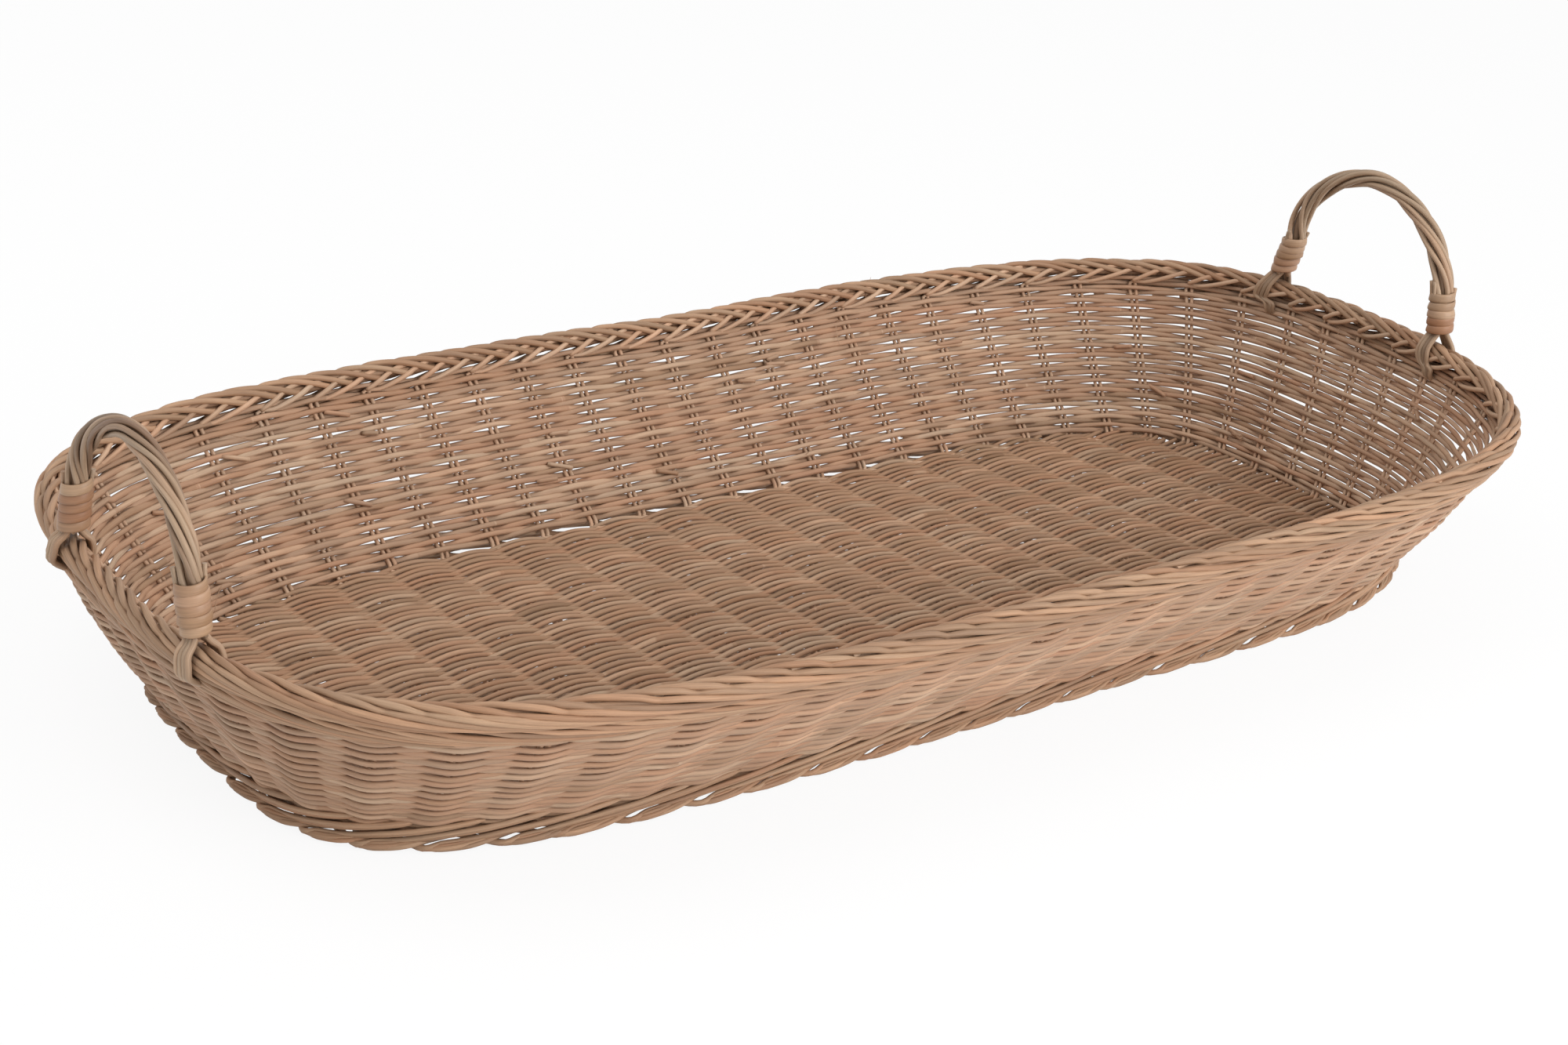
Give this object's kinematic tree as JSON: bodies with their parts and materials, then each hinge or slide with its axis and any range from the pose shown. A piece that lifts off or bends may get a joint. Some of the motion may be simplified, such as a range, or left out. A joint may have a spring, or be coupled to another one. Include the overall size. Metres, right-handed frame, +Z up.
{
  "type": "rattan tray",
  "caption": "Long oval-cornered tray basket woven from thin rattan rods, with flared walls, a rope-like rolled border and an arched bundle handle with cane bindings at each end.",
  "frame": {"origin": "under the middle of the tray, on the surface that it stands on", "axes": "+X along the tray towards the end with the higher rim and taller handle, +Y across the tray, +Z up"},
  "size_m": [0.8164, 0.412, 0.1976],
  "materials": {
    "rattan_core_tan": "natural rattan core, unvarnished, matt",
    "rattan_core_warm": "natural rattan core, unvarnished, matt",
    "rattan_core_grey": "natural rattan rods, slightly weathered, matt",
    "flat_cane_cream": "split cane with a faint natural gloss"
  },
  "bodies": {
    "root": {"stick_01": "rattan_core_tan", "stick_02": "rattan_core_tan", "stick_03": "rattan_core_tan", "stick_04": "rattan_core_tan", "stick_05": "rattan_core_tan", "stick_06": "rattan_core_tan", "stick_07": "rattan_core_tan", "stick_08": "rattan_core_tan", "stick_09": "rattan_core_tan", "stick_10": "rattan_core_tan", "stick_11": "rattan_core_tan", "stick_12": "rattan_core_tan", "stick_13": "rattan_core_tan", "stick_14": "rattan_core_tan", "stick_15": "rattan_core_tan", "stick_16": "rattan_core_tan", "stick_17": "rattan_core_tan", "stick_18": "rattan_core_tan", "stick_19": "rattan_core_tan", "stick_20": "rattan_core_tan", "end_stake_left_01": "rattan_core_tan", "end_stake_left_02": "rattan_core_tan", "end_stake_left_03": "rattan_core_tan", "end_stake_left_04": "rattan_core_tan", "end_stake_left_05": "rattan_core_tan", "end_stake_left_06": "rattan_core_tan", "end_stake_left_07": "rattan_core_tan", "end_stake_left_08": "rattan_core_tan", "end_stake_left_09": "rattan_core_tan", "end_stake_left_10": "rattan_core_tan", "end_stake_left_11": "rattan_core_tan", "end_stake_right_01": "rattan_core_tan", "end_stake_right_02": "rattan_core_tan", "end_stake_right_03": "rattan_core_tan", "end_stake_right_04": "rattan_core_tan", "end_stake_right_05": "rattan_core_tan", "end_stake_right_06": "rattan_core_tan", "end_stake_right_07": "rattan_core_tan", "end_stake_right_08": "rattan_core_tan", "end_stake_right_09": "rattan_core_tan", "end_stake_right_10": "rattan_core_tan", "end_stake_right_11": "rattan_core_tan", "short_stick_left": "rattan_core_tan", "short_stick_right": "rattan_core_tan", "floor_weave_lower": "rattan_core_tan", "floor_weave_upper": "rattan_core_tan", "wall_weave_outer": "rattan_core_warm", "wall_weave_inner": "rattan_core_warm", "foot_wale": "rattan_core_warm", "rim_border": "rattan_core_warm", "handle_left": "rattan_core_grey", "handle_right": "rattan_core_grey", "binding_left_far": "flat_cane_cream", "binding_left_near": "flat_cane_cream", "binding_right_far": "flat_cane_cream", "binding_right_near": "flat_cane_cream"}
  },
  "joints": []
}
